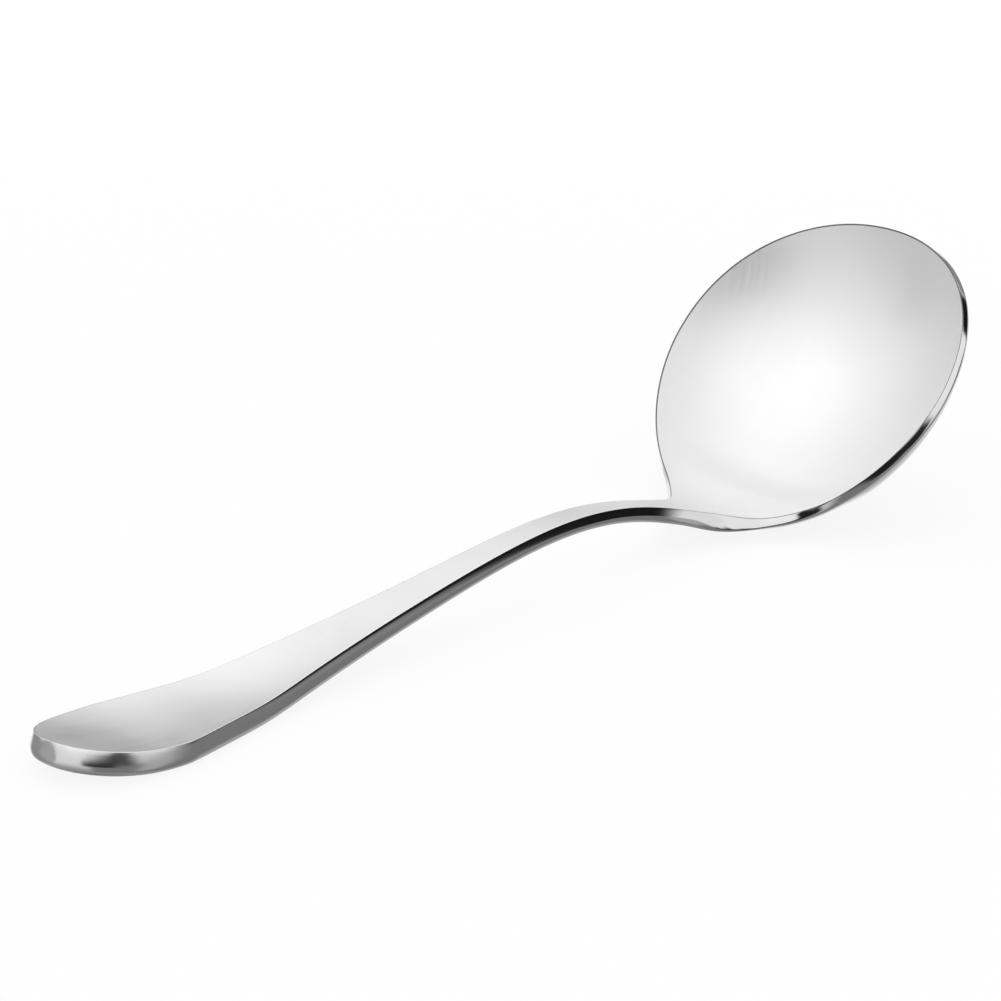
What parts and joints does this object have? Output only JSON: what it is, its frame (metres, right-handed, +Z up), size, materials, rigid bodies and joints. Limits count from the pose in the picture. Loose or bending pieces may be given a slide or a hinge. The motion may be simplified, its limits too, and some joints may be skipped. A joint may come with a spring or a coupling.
{
  "type": "spoon",
  "caption": "Polished steel spoon with a round dished bowl turned up from a slim neck, and a tapering handle with a broad rounded end; it scoops, pours and serves.",
  "frame": {"origin": "middle of the box round the spoon, on the surface that it lies on", "axes": "+X from the handle end to the bowl, +Y across to the left seen from the handle, +Z up out of the surface, with the bowl's hollow facing up and back towards the handle"},
  "size_m": [0.1706, 0.0476, 0.0378],
  "materials": {
    "polished_steel": "mirror polished"
  },
  "bodies": {
    "root": {"spoon": "polished_steel"}
  },
  "joints": []
}
